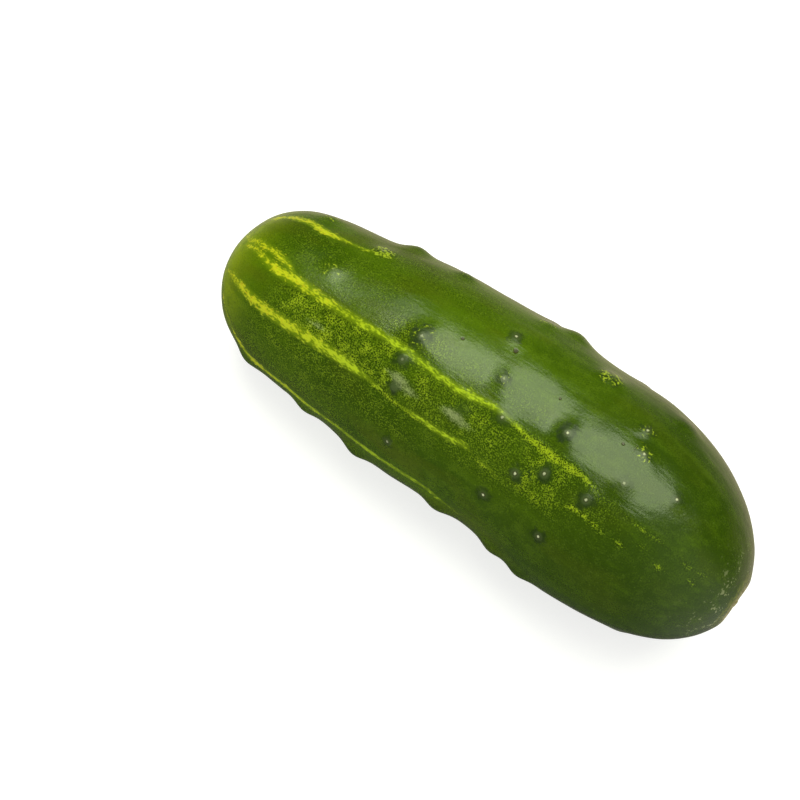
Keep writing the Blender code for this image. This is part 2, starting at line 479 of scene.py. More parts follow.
inside = np.max([inside_stripe(stations) for stations in STRIPES], axis=0)
store("inside_stripe", inside)
bands = np.max([inside_stripe(stations) for stations in SPECK_BANDS], axis=0)
bands = np.clip(0.5 + bands / BAND_EDGE, 0, 1)
print("share of skin in stripes:", round(float((inside > 0).mean()), 3))

# %% [markdown]
# ### Specks, paleness and depth of green
# Specks are thickest between the two top stripes and thin out away from them. The blossom end stays
# pale olive, and the stem end is the darkest green. Specks and paleness are soft-edged patches, of
# which the strongest counts at each place, and the two ends fade by a curve along the fruit.

# %% Patches of specks and of colour
SPECK_PATCHES = (
    # along from, to, around from, to, strength
    (0.13, 0.40, 105, 129, 0.80),
    (0.36, 0.52, 105, 129, 0.70),
    (0.46, 0.62, 104, 130, 0.66),
    (0.60, 0.71, 103, 134, 0.80),
    (0.70, 0.79, 104, 122, 0.55),
    (0.45, 0.64, 126, 142, 0.50),
    (0.10, 0.46, 131, 150, 0.58),
    (0.08, 0.36, 140, 176, 0.52),
    (0.08, 0.34, 64, 100, 0.42),
    (0.30, 0.44, 88, 104, 0.70),
    (0.42, 0.62, 88, 104, 0.45),
    (0.17, 0.28, 80, 102, 0.45),
    (0.20, 0.46, 34, 66, 0.40),
    (0.06, 0.60, 184, 360, 0.50),
    (0.06, 0.55, 0, 30, 0.40),
)
PALE_END = ((0.00, 0.95), (0.02, 0.85), (0.035, 0.6), (0.05, 0.3), (0.08, 0.06), (0.2, 0.0), (1.0, 0.0))
PALE_PATCHES = ((-0.1, 0.08, 138, 190, 0.6), (-0.1, 0.05, 66, 104, 0.4), (-0.1, 0.08, 230, 350, 0.4))
DARK_END = ((0.00, 0.0), (0.40, 0.1), (0.60, 0.45), (0.75, 0.85), (0.90, 1.0), (1.0, 1.0))
BAND_DENSITY = 1.2
EDGE_ALONG = 0.05
EDGE_AROUND = 5.0


def soft_step(value, low, high):
    """0 below low, 1 above high and a smooth ramp between."""
    u = np.clip((value - low) / (high - low), 0, 1)
    return u * u * (3 - 2 * u)


def patch(along_from, along_to, around_from, around_to, strength):
    """A soft-edged patch of the skin."""
    middle_turn, half_turn = (around_from + around_to) / 2, (around_to - around_from) / 2
    lengthwise = soft_step(along, along_from - EDGE_ALONG, along_from + EDGE_ALONG)
    lengthwise *= 1 - soft_step(along, along_to - EDGE_ALONG, along_to + EDGE_ALONG)
    off = np.abs(turn_between(around, middle_turn))
    return strength * lengthwise * (1 - soft_step(off, half_turn - EDGE_AROUND, half_turn + EDGE_AROUND))


specks = np.max([BAND_DENSITY * bands, *[patch(*row) for row in SPECK_PATCHES]], axis=0)
pale = np.max([smooth_through(PALE_END, along), *[patch(*row) for row in PALE_PATCHES]], axis=0)
pale = np.clip(pale, 0, 1)
dark = np.clip(smooth_through(DARK_END, along), 0, 1)
store("specks", specks)
store("pale", pale)
store("dark", dark)
print("mean speck density:", round(float(specks.mean()), 2))

# %% [markdown]
# ### Warts
# Each vertex keeps the vector from its nearest wart's middle, in mm. A vector, unlike a distance,
# stays exact between vertices, so the material can draw a half-millimetre dot on a coarser mesh.
# Half way between two warts the vectors cancel, so the plain distance is kept too, as a lower limit.
# The same goes for the scars: each vertex keeps how far it lies from the axis, and in which direction.

# %% Where the nearest wart is, and how it looks
store("from_wart", (smooth_points - wart_centres[nearest_wart]) / MM)
store("wart_away", nearest / MM)
for column, name in enumerate(("wart_dot", "wart_knob", "wart_speck")):
    store(name, wart_looks[nearest_wart, column])
store("wart_size", wart_radii[nearest_wart] / MM)
store("wart_pit", (wart_heights[nearest_wart] == 0).astype(float))
from_axis = (smooth_points - middle(along.round())) * (0, 1, 1) / MM
store("from_axis", from_axis)
off_axis = np.linalg.norm(from_axis, axis=1)
store("stem_scar", np.where(along > 0.5, off_axis, 99.0))
store("blossom_scar", np.where(along < 0.5, off_axis, 99.0))
# Painted highlight: soft ovals along the ridge where the wax shows grey glints.
sheen_total = np.zeros(len(along))
for sheen_along, sheen_around, strength in SHEEN_SPOTS:
    lengthwise = (along - sheen_along) * LENGTH / MM / SHEEN_SPOT_LENGTH
    sideways = np.radians(turn_between(around, sheen_around)) * round_radius(along) / MM / SHEEN_SPOT_WIDTH
    sheen_total += strength * np.exp(-(lengthwise**2) - sideways**2)
store("painted_sheen", sheen_total)
print("attributes:", [a.name for a in skin.data.attributes if not a.name.startswith(".")])

# %% [markdown]
# ## One way to add a node
# A material is a tree of nodes. One function adds a node with its settings, links each socket that is
# given another node's output, and hands back the output that the next node needs. Sockets go by
# number where Blender repeats a name. On a Map Range 0 is the value, 1 and 2 where it comes from, 3 and
# 4 where it goes to. On a colour Mix 0 is the share, 6 and 7 are the colours. On Math 0, 1 and 2 are
# the numbers, and MULTIPLY_ADD gives 0 times 1 plus 2.


# %% Node helper and colour helper
def add(tree, kind, sockets, output=0, **settings):
    """Add a node and return one output; sockets holds values or other nodes' outputs."""
    made = tree.nodes.new("ShaderNode" + kind)
    for name, value in settings.items():
        setattr(made, name, value)
    for socket, value in sockets.items():
        if isinstance(value, bpy.types.NodeSocket):
            tree.links.new(value, made.inputs[socket])
        else:
            made.inputs[socket].default_value = value
    return made.outputs[output]


def linear(hex_colour):
    """An sRGB hex colour as linear red, green, blue and alpha."""
    parts = [int(hex_colour[i : i + 2], 16) / 255 for i in (1, 3, 5)]
    return (*[p / 12.92 if p <= 0.04045 else ((p + 0.055) / 1.055) ** 2.4 for p in parts], 1.0)


SMOOTH = {"interpolation_type": "SMOOTHSTEP"}
BLEND = {"output": 2, "data_type": "RGBA"}
print("white paper, linear:", [round(part, 2) for part in linear("#F4F4F4")])

# %% [markdown]
# ## Waxy cucumber skin
# Cucumber skin is living tissue under a thin coat of plant wax, so it shines like satin (IOR about
# 1.45), and the green lies just beneath, dark and saturated. A second, clear layer for the wax veils
# that dark green, so one glossy layer stands for both. Its colour is built from the inside out: the
# green, the rings of the warts, specks, stripes, patches of painted sheen, and last the scars of
# spine, stem and flower.

# %% Skin colours
DEEP_GREEN = linear("#304800")
MID_GREEN = linear("#425B01")
STEM_GREEN = linear("#283C02")
BLOTCH = linear("#4B6303")
OLIVE = linear("#889900")
TAN = linear("#424E04")
SPECK = linear("#889C10")
SPECK_DIM = linear("#60780A")
SPECK_GAP = linear("#283B00")
PORE = linear("#1D2C00")
BRIGHT_SPECK = linear("#8B9D1E")
STRIPE_GLOW = linear("#667C06")
STRIPE_OLD = linear("#ABAF14")
STRIPE = linear("#93AA15")
RUST = linear("#A67A10")
# A pale grey for the painted highlight along the ridge.
SHEEN_GREY = linear("#7F8A58")
KNOB_GREEN = linear("#1A2A08")
# A pale grey-green for the painted highlight on each wart's button.
KNOB_TOP_SHEEN = linear("#5C6A3E")
SPINE_DOT = linear("#A8AE88")
SPINE_RIM = linear("#2E2C12")
SCAR_BROWN = linear("#3F3314")
CORK = linear("#7A6F33")
CORK_PALE = linear("#A9A27C")
COLLAR = linear("#5E6412")
PALE_PRICK = linear("#7E845A")
STAR = linear("#A3AC66")
print("darkest green, linear:", [round(part, 3) for part in KNOB_GREEN[:3]])

# %% [markdown]
# ### The green
# Seen close, the green is never even. It is mottled over a centimetre, streaked along the fruit, where
# cells grow in files, blotched every few millimetres, and tanned where the sun reached it. One noise
# for each of those scales, each mixed in lightly, gives that. A Mapping node stretches a pattern
# along the fruit by shrinking the first axis.

# %% Skin material: the green, its mottling and its fine grain
ALONG_FRUIT = (0.4, 1, 1)
IN_STREAKS = (0.12, 1, 1)
MOTTLE = 12 * MM
TANNED = 7 * MM
CLUSTER = 2.5 * MM
STREAK = 2.2 * MM
SPECK_SIZE = 0.28 * MM

wax = bpy.data.materials.new("waxy_cucumber_skin")
wax.use_nodes = True
tree = wax.node_tree
tree.nodes.clear()
spot = add(tree, "TexCoord", {}, "Object")
along_grain = add(tree, "Mapping", {"Vector": spot, "Scale": ALONG_FRUIT})
streaky = add(tree, "Mapping", {"Vector": spot, "Scale": IN_STREAKS})
mottle = add(tree, "TexNoise", {"Vector": along_grain, "Scale": 1 / MOTTLE, "Detail": 4})
streak = add(tree, "TexNoise", {"Vector": streaky, "Scale": 1 / STREAK, "Detail": 3})
clusters = add(tree, "TexNoise", {"Vector": spot, "Scale": 1 / CLUSTER, "Detail": 2})
grains = add(tree, "TexNoise", {"Vector": spot, "Scale": 1 / SPECK_SIZE, "Detail": 1})
mottled = add(tree, "MapRange", {0: mottle, 1: 0.38, 2: 0.62}, **SMOOTH)
colour = add(tree, "Mix", {0: mottled, 6: DEEP_GREEN, 7: MID_GREEN}, **BLEND)
darker = add(tree, "Attribute", {}, "Fac", attribute_name="dark")
colour = add(tree, "Mix", {0: darker, 6: colour, 7: STEM_GREEN}, **BLEND)
streaked = add(tree, "MapRange", {0: streak, 1: 0.5, 2: 0.8, 4: 0.4}, **SMOOTH)
colour = add(tree, "Mix", {0: streaked, 6: colour, 7: MID_GREEN}, **BLEND)
blotched = add(tree, "Math", {0: grains, 1: clusters}, operation="MULTIPLY")
blotched = add(tree, "MapRange", {0: blotched, 1: 0.20, 2: 0.38, 4: 0.6}, **SMOOTH)
younger = add(tree, "MapRange", {0: darker, 3: 1.0, 4: 0.3})
blotched = add(tree, "Math", {0: blotched, 1: younger}, operation="MULTIPLY")
colour = add(tree, "Mix", {0: blotched, 6: colour, 7: BLOTCH}, **BLEND)
tanned = add(tree, "TexNoise", {"Vector": along_grain, "Scale": 1 / TANNED, "Detail": 3})
tanned = add(tree, "MapRange", {0: tanned, 1: 0.45, 2: 0.68, 4: 0.6}, **SMOOTH)
tanned = add(tree, "Math", {0: tanned, 1: younger}, operation="MULTIPLY")
colour = add(tree, "Mix", {0: tanned, 6: colour, 7: TAN}, **BLEND)
paler = add(tree, "Attribute", {}, "Fac", attribute_name="pale")
patchy = add(tree, "Math", {0: mottle, 1: clusters}, operation="ADD")
patchy = add(tree, "MapRange", {0: patchy, 1: 0.8, 2: 1.15, 3: 0.6, 4: 1.0}, **SMOOTH)
paler = add(tree, "Math", {0: paler, 1: patchy}, operation="MULTIPLY")
colour = add(tree, "Mix", {0: paler, 6: colour, 7: OLIVE}, **BLEND)
print("nodes for the green:", len(tree.nodes))

# %% [markdown]
# ### Dark rings of the warts
# Round each wart the skin is darker and clear of specks. A round patch would look printed, so noise is
# added to the distance from the wart before the edge is cut. The distance is counted in wart radii,
# so a bigger wart has a bigger ring.

# %% Skin material: dark rings of the warts
RAGGED = 1.2 * MM
RING_EDGE, RING_FULL = 2.0, 1.25

from_wart = add(tree, "Attribute", {}, "Vector", attribute_name="from_wart")
wart_off = add(tree, "VectorMath", {0: from_wart}, "Value", operation="LENGTH")
away = add(tree, "Attribute", {}, "Fac", attribute_name="wart_away")
away = add(tree, "Math", {0: away, 1: 0.8}, operation="SUBTRACT")
wart_off = add(tree, "Math", {0: wart_off, 1: away}, operation="MAXIMUM")
wart_size = add(tree, "Attribute", {}, "Fac", attribute_name="wart_size")
share = add(tree, "Math", {0: wart_off, 1: wart_size}, operation="DIVIDE")
ragged = add(tree, "TexNoise", {"Vector": spot, "Scale": 1 / RAGGED, "Detail": 3})
share = add(tree, "Math", {0: ragged, 1: 1.8, 2: share}, operation="MULTIPLY_ADD")
knob_strength = add(tree, "Attribute", {}, "Fac", attribute_name="wart_knob")
knob = add(tree, "MapRange", {0: share, 1: RING_EDGE, 2: RING_FULL}, **SMOOTH)
knob = add(tree, "Math", {0: knob, 1: knob_strength}, operation="MULTIPLY")
knob_tint = add(tree, "Math", {0: knob, 1: 0.92}, operation="MULTIPLY")
print("ring, wart radii wide:", RING_EDGE - RING_FULL)

# %% [markdown]
# ### Specks
# The specks are groups of pale pores 0.3 to 0.6 mm across, with darker skin between them. Thousands of
# small discs would weigh too much, so a fine noise is cut at a level: the denser the specks, the
# lower the cut and the more of the noise stands over it. The lowest of the noise is a dark pore.

# %% Skin material: specks with darker skin between them
CUT_WHERE_BARE, CUT_WHERE_DENSE = 0.80, 0.42

density = add(tree, "Attribute", {}, "Fac", attribute_name="specks")
clustered = add(tree, "MapRange", {0: clusters, 1: 0.3, 2: 0.7, 3: 0.7, 4: 1.25})
density = add(tree, "Math", {0: density, 1: clustered}, operation="MULTIPLY")
clear = add(tree, "Math", {0: 1.0, 1: knob}, operation="SUBTRACT")
density = add(tree, "Math", {0: density, 1: clear}, operation="MULTIPLY")
gap = add(tree, "Math", {0: density, 1: 0.8}, operation="MULTIPLY")
colour = add(tree, "Mix", {0: gap, 6: colour, 7: SPECK_GAP}, **BLEND)
cut = add(tree, "MapRange", {0: density, 3: CUT_WHERE_BARE, 4: CUT_WHERE_DENSE})
over = add(tree, "Math", {0: grains, 1: cut}, operation="SUBTRACT")
specked = add(tree, "MapRange", {0: over, 1: -0.12, 2: 0.20, 4: 0.85}, **SMOOTH)
brighter = add(tree, "MapRange", {0: density, 1: 0.55, 2: 1.15}, **SMOOTH)
speck = add(tree, "Mix", {0: brighter, 6: SPECK_DIM, 7: SPECK}, **BLEND)
colour = add(tree, "Mix", {0: specked, 6: colour, 7: speck}, **BLEND)
pored = add(tree, "MapRange", {0: grains, 1: 0.50, 2: 0.34}, **SMOOTH)
pores = add(tree, "MapRange", {0: density, 3: 0.25, 4: 0.75})
pored = add(tree, "Math", {0: pored, 1: pores}, operation="MULTIPLY")
colour = add(tree, "Mix", {0: pored, 6: colour, 7: PORE}, **BLEND)
colour = add(tree, "Mix", {0: knob_tint, 6: colour, 7: KNOB_GREEN}, **BLEND)
print("speck size, mm:", SPECK_SIZE / MM)

# %% [markdown]
# ### Crumbs round some warts
# Some warts gather bigger, brighter yellow crumbs just outside their ring. It is the same recipe with a
# coarser noise, and its cut follows the distance from the wart.

# %% Skin material: bigger crumbs round some warts
CRUMB = 0.6 * MM

gather = add(tree, "Attribute", {}, "Fac", attribute_name="wart_speck")
near_wart = add(tree, "MapRange", {0: share, 1: 2.35, 2: 1.55}, **SMOOTH)
gather = add(tree, "Math", {0: gather, 1: near_wart}, operation="MULTIPLY")
crumbs = add(tree, "TexNoise", {"Vector": spot, "Scale": 1 / CRUMB, "Detail": 2})
crumb_cut = add(tree, "MapRange", {0: gather, 3: 0.85, 4: 0.46})
crumb_over = add(tree, "Math", {0: crumbs, 1: crumb_cut}, operation="SUBTRACT")
crumbed = add(tree, "MapRange", {0: crumb_over, 1: -0.03, 2: 0.12, 4: 0.9}, **SMOOTH)
colour = add(tree, "Mix", {0: crumbed, 6: colour, 7: BRIGHT_SPECK}, **BLEND)
print("crumb size, mm:", CRUMB / MM)

# %% [markdown]
# ### Stripes
# A stripe is a bundle of yellow fibres with frayed edges, not a painted line. So fibre noise is added
# to the stored depth before the edge is cut, over a faint glow that is a little wider. Towards the
# blossom end the skin is older: the yellow turns golden, with crumbs of rust in it.

# %% Skin material: stripes, with rust where the skin is oldest
FIBRE = 0.38 * MM
OLDER_FROM, OLDEST_AT = -15 * MM, -58 * MM

fibres = add(tree, "TexNoise", {"Vector": along_grain, "Scale": 1 / FIBRE, "Detail": 3})
depth = add(tree, "Attribute", {}, "Fac", attribute_name="inside_stripe")
glow = add(tree, "MapRange", {0: depth, 1: -0.9, 2: 0.3, 4: 0.65}, **SMOOTH)
colour = add(tree, "Mix", {0: glow, 6: colour, 7: STRIPE_GLOW}, **BLEND)
jagged = add(tree, "Math", {0: fibres, 1: 3.7, 2: depth}, operation="MULTIPLY_ADD")
jagged = add(tree, "Math", {0: clusters, 1: 2.2, 2: jagged}, operation="MULTIPLY_ADD")
striped = add(tree, "MapRange", {0: jagged, 1: 2.65, 2: 3.75, 4: 0.92}, **SMOOTH)
old = add(tree, "SeparateXYZ", {0: spot}, "X")
old = add(tree, "MapRange", {0: old, 1: OLDER_FROM, 2: OLDEST_AT}, **SMOOTH)
stripe = add(tree, "Mix", {0: old, 6: STRIPE, 7: STRIPE_OLD}, **BLEND)
colour = add(tree, "Mix", {0: striped, 6: colour, 7: stripe}, **BLEND)
rusty = add(tree, "MapRange", {0: crumbs, 1: 0.54, 2: 0.68, 4: 0.6}, **SMOOTH)
rusty = add(tree, "Math", {0: rusty, 1: striped}, operation="MULTIPLY")
rusty = add(tree, "Math", {0: rusty, 1: old}, operation="MULTIPLY")
colour = add(tree, "Mix", {0: rusty, 6: colour, 7: RUST}, **BLEND)
print("fibre width, mm:", FIBRE / MM)

# %% [markdown]
# ### Painted sheen
# Along the ridge between the two top stripes the wax shows soft grey glints, and here they are
# painted in as a highlight: each is a soft pale oval kept on the mesh, broken up by the fibres and
# the fine grain.

# %% Skin material: painted sheen, a pale grey painted highlight
painted_sheen = add(tree, "Attribute", {}, "Fac", attribute_name="painted_sheen")
painted_sheen = add(tree, "Math", {0: fibres, 1: 0.7, 2: painted_sheen}, operation="MULTIPLY_ADD")
painted_sheen = add(tree, "Math", {0: grains, 1: 0.9, 2: painted_sheen}, operation="MULTIPLY_ADD")
painted_sheen = add(tree, "MapRange", {0: painted_sheen, 1: 0.95, 2: 1.75, 4: 0.7}, **SMOOTH)
# Mix in the pale grey: a painted highlight.
colour = add(tree, "Mix", {0: painted_sheen, 6: colour, 7: SHEEN_GREY}, **BLEND)
print("scuffs:", len(SHEEN_SPOTS))

# %% [markdown]
# ### What the spines left
# Where a spine stood there is a pale dry dot under a millimetre wide, with a thin brown rim, on a
# low button. The button's top is painted a paler grey-green, a painted highlight where the wax
# catches the light on it. Pits and nicks, which have no height, are brown all over. The sizes are
# distances in mm from the wart's middle.

# %% Skin material: the button on each wart with a painted highlight on its top, the dot where its spine stood, and the pits
BUTTON_EDGE, BUTTON_FULL = 1.5, 0.6
RIM_EDGE, RIM_FULL = 0.8, 0.5
DOT_EDGE, DOT_FULL = 0.52, 0.30

dot_off = add(tree, "Math", {0: grains, 1: 0.3, 2: wart_off}, operation="MULTIPLY_ADD")
button_and_sheen = add(tree, "MapRange", {0: dot_off, 1: BUTTON_EDGE, 2: BUTTON_FULL, 4: 0.3}, **SMOOTH)
button_and_sheen = add(tree, "Math", {0: button_and_sheen, 1: knob_strength}, operation="MULTIPLY")
# Painted highlight: the button's top is mixed towards a paler grey-green.
colour = add(tree, "Mix", {0: button_and_sheen, 6: colour, 7: KNOB_TOP_SHEEN}, **BLEND)
dot_strength = add(tree, "Attribute", {}, "Fac", attribute_name="wart_dot")
rim = add(tree, "MapRange", {0: dot_off, 1: RIM_EDGE, 2: RIM_FULL, 4: 0.7}, **SMOOTH)
rim = add(tree, "Math", {0: rim, 1: dot_strength}, operation="MULTIPLY")
colour = add(tree, "Mix", {0: rim, 6: colour, 7: SPINE_RIM}, **BLEND)
dot = add(tree, "MapRange", {0: dot_off, 1: DOT_EDGE, 2: DOT_FULL}, **SMOOTH)
dot = add(tree, "Math", {0: dot, 1: dot_strength}, operation="MULTIPLY")
colour = add(tree, "Mix", {0: dot, 6: colour, 7: SPINE_DOT}, **BLEND)
pit = add(tree, "Attribute", {}, "Fac", attribute_name="wart_pit")
hole = add(tree, "MapRange", {0: share, 1: 1.95, 2: 1.35}, **SMOOTH)
hole = add(tree, "Math", {0: hole, 1: pit}, operation="MULTIPLY")
colour = add(tree, "Mix", {0: hole, 6: colour, 7: SPINE_RIM}, **BLEND)
print("spine dot, mm wide:", 2 * DOT_EDGE)

# %% [markdown]
# ### Scar of the stem
# Where the stem broke off there is a corky plug in a brown groove, then a crumbly olive collar, and
# some pale pricks on the skin round it. All are bands of one distance from the axis, in mm, which is
# made ragged by noise first. Noise averages 0.5, so each band lies about 1.5 mm nearer than it says.

# %% Skin material: scar of the stem
COLLAR_EDGE, COLLAR_FULL = 8.6, 7.6
PRICKS_END, PRICKS_FULL = 17.0, 8.0
CORK_EDGE, CORK_FULL = 7.0, 5.0
GROOVE_AT = 3.6

stem_off = add(tree, "Attribute", {}, "Fac", attribute_name="stem_scar")
stem_off = add(tree, "Math", {0: ragged, 1: 3.0, 2: stem_off}, operation="MULTIPLY_ADD")
collar = add(tree, "MapRange", {0: stem_off, 1: COLLAR_EDGE, 2: COLLAR_FULL, 4: 0.8}, **SMOOTH)
crumbly = add(tree, "MapRange", {0: crumbs, 1: 0.42, 2: 0.56, 3: 0.25, 4: 1.0}, **SMOOTH)
collar = add(tree, "Math", {0: collar, 1: crumbly}, operation="MULTIPLY")
colour = add(tree, "Mix", {0: collar, 6: colour, 7: COLLAR}, **BLEND)
stemward = add(tree, "MapRange", {0: stem_off, 1: PRICKS_END, 2: PRICKS_FULL}, **SMOOTH)
pricked = add(tree, "Math", {0: clusters, 1: 0.8, 2: crumbs}, operation="MULTIPLY_ADD")
pricked = add(tree, "MapRange", {0: pricked, 1: 1.06, 2: 1.14}, **SMOOTH)
pricked = add(tree, "Math", {0: pricked, 1: stemward}, operation="MULTIPLY")
colour = add(tree, "Mix", {0: pricked, 6: colour, 7: PALE_PRICK}, **BLEND)
corky = add(tree, "MapRange", {0: stem_off, 1: CORK_EDGE, 2: CORK_FULL}, **SMOOTH)
corkier = add(tree, "MapRange", {0: crumbs, 1: 0.35, 2: 0.65}, **SMOOTH)
cork = add(tree, "Mix", {0: corkier, 6: CORK, 7: CORK_PALE}, **BLEND)
colour = add(tree, "Mix", {0: corky, 6: colour, 7: cork}, **BLEND)
groove = add(tree, "Math", {0: stem_off, 1: GROOVE_AT}, operation="SUBTRACT")
groove = add(tree, "Math", {0: groove}, operation="ABSOLUTE")
groove = add(tree, "MapRange", {0: groove, 1: 0.9, 2: 0.2, 4: 0.8}, **SMOOTH)
colour = add(tree, "Mix", {0: groove, 6: colour, 7: SCAR_BROWN}, **BLEND)
print("collar, mm from the axis:", COLLAR_EDGE)

# %% [markdown]
# ### Scar of the flower
# The flower leaves a small corky button in a brown ring, and fine pale lines run out from it like a
# star. To draw lines that all point at the middle, noise reads only the direction from the axis:
# wherever it passes through one half there is a line. A second noise sets how far each line reaches.

# %% Skin material: scar of the flower
LINES = 1.9
LINE_EDGE, LINE_FULL = 0.20, 0.05
BUTTON_CORK_EDGE, BUTTON_CORK_FULL = 3.4, 2.6
BROWN_RING_AT = 2.2

flower_away = add(tree, "Attribute", {}, "Fac", attribute_name="blossom_scar")
axis_offset = add(tree, "Attribute", {}, "Vector", attribute_name="from_axis")
way = add(tree, "VectorMath", {0: axis_offset}, "Vector", operation="NORMALIZE")
ray = add(tree, "TexNoise", {"Vector": way, "Scale": LINES, "Detail": 0})
ray = add(tree, "Math", {0: ray, 1: 0.5}, operation="SUBTRACT")
ray = add(tree, "Math", {0: ray}, operation="ABSOLUTE")
ray = add(tree, "Math", {0: ray, 1: flower_away}, operation="MULTIPLY")
ray = add(tree, "MapRange", {0: ray, 1: LINE_EDGE, 2: LINE_FULL, 4: 0.55}, **SMOOTH)
reach = add(tree, "TexNoise", {"Vector": way, "Scale": 3.1, "Detail": 0})
reach = add(tree, "Math", {0: reach, 1: 15.5}, operation="MULTIPLY")
reach = add(tree, "Math", {0: reach, 1: flower_away}, operation="SUBTRACT")
reach = add(tree, "MapRange", {0: reach, 1: 0.0, 2: 2.0}, **SMOOTH)
ray = add(tree, "Math", {0: ray, 1: reach}, operation="MULTIPLY")
outside = add(tree, "MapRange", {0: flower_away, 1: 2.4, 2: 4.2}, **SMOOTH)
ray = add(tree, "Math", {0: ray, 1: outside}, operation="MULTIPLY")
colour = add(tree, "Mix", {0: ray, 6: colour, 7: STAR}, **BLEND)
flower_off = add(tree, "Math", {0: ragged, 1: 2.0, 2: flower_away}, operation="MULTIPLY_ADD")
corked = add(tree, "MapRange", {0: flower_off, 1: BUTTON_CORK_EDGE, 2: BUTTON_CORK_FULL}, **SMOOTH)
colour = add(tree, "Mix", {0: corked, 6: colour, 7: cork}, **BLEND)
dimple = add(tree, "Math", {0: flower_off, 1: BROWN_RING_AT}, operation="SUBTRACT")
dimple = add(tree, "Math", {0: dimple}, operation="ABSOLUTE")
dimple = add(tree, "MapRange", {0: dimple, 1: 0.5, 2: 0.1, 4: 0.9}, **SMOOTH)
colour = add(tree, "Mix", {0: dimple, 6: colour, 7: SCAR_BROWN}, **BLEND)
print("colour nodes so far:", len(tree.nodes))

# %% [markdown]
# ### Relief finer than the mesh
# The warts and scars are real shape. What is finer is a bump: soft wrinkles 3 mm long, streaks, a grain
# like orange peel but much shallower, and the buttons, dots, pits and cork. The heights are in mm, so
# the bump's distance is one millimetre.

# %% Skin material: relief finer than the mesh, in mm
WRINKLE = 3.2 * MM
GRAIN = 0.45 * MM
HEIGHTS = {"fine": 0.024, "streak": 0.06, "button_and_sheen": 0.2, "dot": 0.05, "hole": -0.06, "cork": 0.35}

wrinkles = add(tree, "TexNoise", {"Vector": along_grain, "Scale": 1 / WRINKLE, "Detail": 5})
fine = add(tree, "TexNoise", {"Vector": spot, "Scale": 1 / GRAIN, "Detail": 2})
corkiness = add(tree, "Math", {0: corky, 1: corked}, operation="ADD")
corkiness = add(tree, "Math", {0: corkiness, 1: crumbs}, operation="MULTIPLY")
reliefs = {"fine": fine, "streak": streak, "button_and_sheen": button_and_sheen, "dot": dot, "hole": hole, "cork": corkiness}
height = add(tree, "Math", {0: wrinkles, 1: 0.15}, operation="MULTIPLY")
for name, tall in HEIGHTS.items():
    height = add(tree, "Math", {0: reliefs[name], 1: tall, 2: height}, operation="MULTIPLY_ADD")
relief = add(tree, "Bump", {"Height": height, "Strength": 1.0, "Distance": 1 * MM})
print("kinds of relief:", 1 + len(HEIGHTS))

# %% [markdown]
# ### The wax
# Smooth wax has a roughness of about 0.2. It is thinner on the warts and gone from the cork, and it
# varies a little over millimetres. The tint on the mirrored light is the green of the tissue, which
# the thin wax lets through.

# %% Skin material: the wax over it
WAX_ROUGHNESS = 0.17
WAX_IOR = 1.45
WAX_TINT = (0.92, 1.0, 0.80, 1.0)

shader = tree.nodes.new("ShaderNodeBsdfPrincipled")
tree.links.new(colour, shader.inputs["Base Color"])
tree.links.new(relief, shader.inputs["Normal"])
worn = add(tree, "Math", {0: knob, 1: 0.12, 2: WAX_ROUGHNESS}, operation="MULTIPLY_ADD")
worn = add(tree, "Math", {0: corky, 1: 0.3, 2: worn}, operation="MULTIPLY_ADD")
worn = add(tree, "Math", {0: clusters, 1: 0.1, 2: worn}, operation="MULTIPLY_ADD")
tree.links.new(worn, shader.inputs["Roughness"])
shader.inputs["IOR"].default_value = WAX_IOR
shader.inputs["Specular Tint"].default_value = WAX_TINT
output = tree.nodes.new("ShaderNodeOutputMaterial")
tree.links.new(shader.outputs[0], output.inputs["Surface"])
skin.data.materials.clear()
skin.data.materials.append(wax)
print("skin nodes:", len(tree.nodes))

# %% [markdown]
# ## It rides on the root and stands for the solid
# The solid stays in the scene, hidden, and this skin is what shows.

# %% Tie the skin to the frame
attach(skin, "root")
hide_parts("cucumber")
print(skin.name, "stands for", list(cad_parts))

# %% [markdown]
# ## Studio
# A pale floor that glows a little, so that the shadow on it stays faint. One softbox high over the
# far side, which the wax mirrors as a long broad highlight, and a narrow weaker one beside it that
# draws the highlight on towards the blossom end. A soft fill on the near side, which the wax doesn't
# mirror, and a camera that looks down on the fruit. Lamps of one point would leave hard little stars.

# %% Floor
FLOOR_SIZE = 6
PAPER = linear("#C0C0C0")
PAPER_ROUGHNESS = 0.9
PAPER_GLOW = 0.62

bpy.ops.object.select_all(action="DESELECT")
bpy.ops.mesh.primitive_plane_add(size=FLOOR_SIZE)
floor = bpy.context.object
floor.name = "floor"
paper = bpy.data.materials.new("white_paper")
paper.use_nodes = True
paper_shader = paper.node_tree.nodes["Principled BSDF"]
paper_shader.inputs["Base Color"].default_value = PAPER
paper_shader.inputs["Roughness"].default_value = PAPER_ROUGHNESS
paper_shader.inputs["Specular IOR Level"].default_value = 0.0
paper_shader.inputs["Emission Color"].default_value = (1, 1, 1, 1)
paper_shader.inputs["Emission Strength"].default_value = PAPER_GLOW
paper.cycles.emission_sampling = "NONE"
floor.data.materials.append(paper)
floor.visible_glossy = False
print("floor, m:", FLOOR_SIZE)

# %% [markdown]
# ### Camera
# A long lens from near by, high over the fruit: it keeps both ends in proportion. It is placed by two
# angles and a distance from the point it looks at, which is easier to adjust than coordinates.


# %% Camera
def point_at(thing, place, aim, up="Y"):
    """Put a camera or a light at a place, looking at another."""
    thing.location = Vector(place)
    thing.rotation_euler = (Vector(aim) - Vector(place)).to_track_quat("-Z", up).to_euler()


